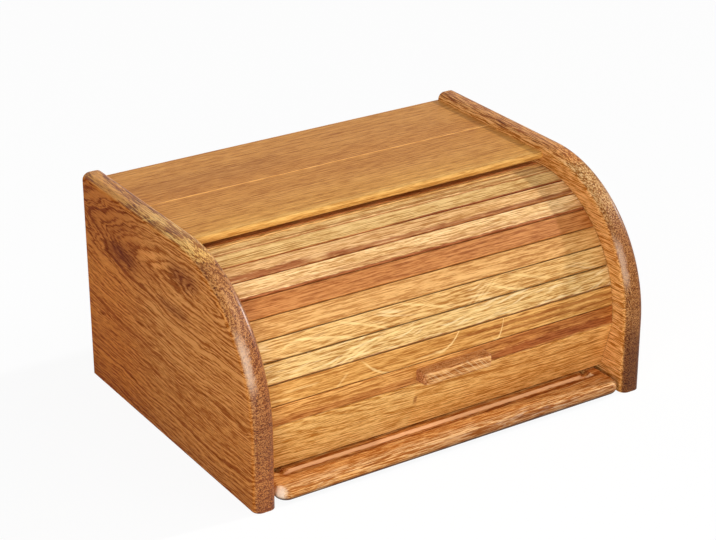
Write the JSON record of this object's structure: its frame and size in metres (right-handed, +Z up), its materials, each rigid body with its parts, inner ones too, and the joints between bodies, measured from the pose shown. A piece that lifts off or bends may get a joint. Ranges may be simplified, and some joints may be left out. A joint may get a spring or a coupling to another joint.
{
  "type": "roll-top bread box",
  "caption": "Wooden bread box with a slatted roll-top front, a pull handle and a cutting board that slides out from under its floor.",
  "frame": {"origin": "on the table, under the middle of the closed box with its cutting board pushed home", "axes": "+X to the right along the slats, +Y from the front to the back, +Z up"},
  "size_m": [0.42, 0.3116, 0.207],
  "materials": {
    "oak_side": "oiled oak, brown",
    "oak_top": "oiled oak, mid tan",
    "oak_slat": "oiled oak, golden",
    "oak_board": "oiled oak",
    "oak_panel": "oak-faced panel",
    "beech_dowel": "plain beech",
    "canvas": "undyed woven canvas",
    "screw": "yellow zinc"
  },
  "bodies": {
    "case": {"side_panel_left": "oak_side", "side_panel_right": "oak_side", "top_plank_front": "oak_top", "top_plank_rear": "oak_top", "top_dowels": "beech_dowel", "back_panel": "oak_panel", "floor_panel": "oak_panel", "base_panel": "oak_panel", "board_stop": "oak_panel", "back_screws": "screw", "base_screws": "screw"},
    "curtain": {"bottom_rail": "oak_slat", "pull_handle": "oak_slat", "handle_screws": "screw", "curtain_canvas": "canvas", "slat_01": "oak_slat", "slat_02": "oak_slat", "slat_03": "oak_slat", "slat_04": "oak_slat", "slat_05": "oak_slat", "slat_06": "oak_slat", "slat_07": "oak_slat", "slat_08": "oak_slat", "slat_09": "oak_slat", "slat_10": "oak_slat", "slat_11": "oak_slat", "slat_12": "oak_slat"},
    "board": {"cutting_board": "oak_board"}
  },
  "joints": [
    {"name": "curtain_roll", "type": "hinge", "parent": "case", "child": "curtain", "pos_m": [0, -0.01875, 0.0715], "axis": [-1, 0, 0], "range_deg": [0, 85]},
    {"name": "board_slide", "type": "slide", "parent": "case", "child": "board", "axis": [0, -1, 0], "range_m": [0, 0.235]}
  ]
}
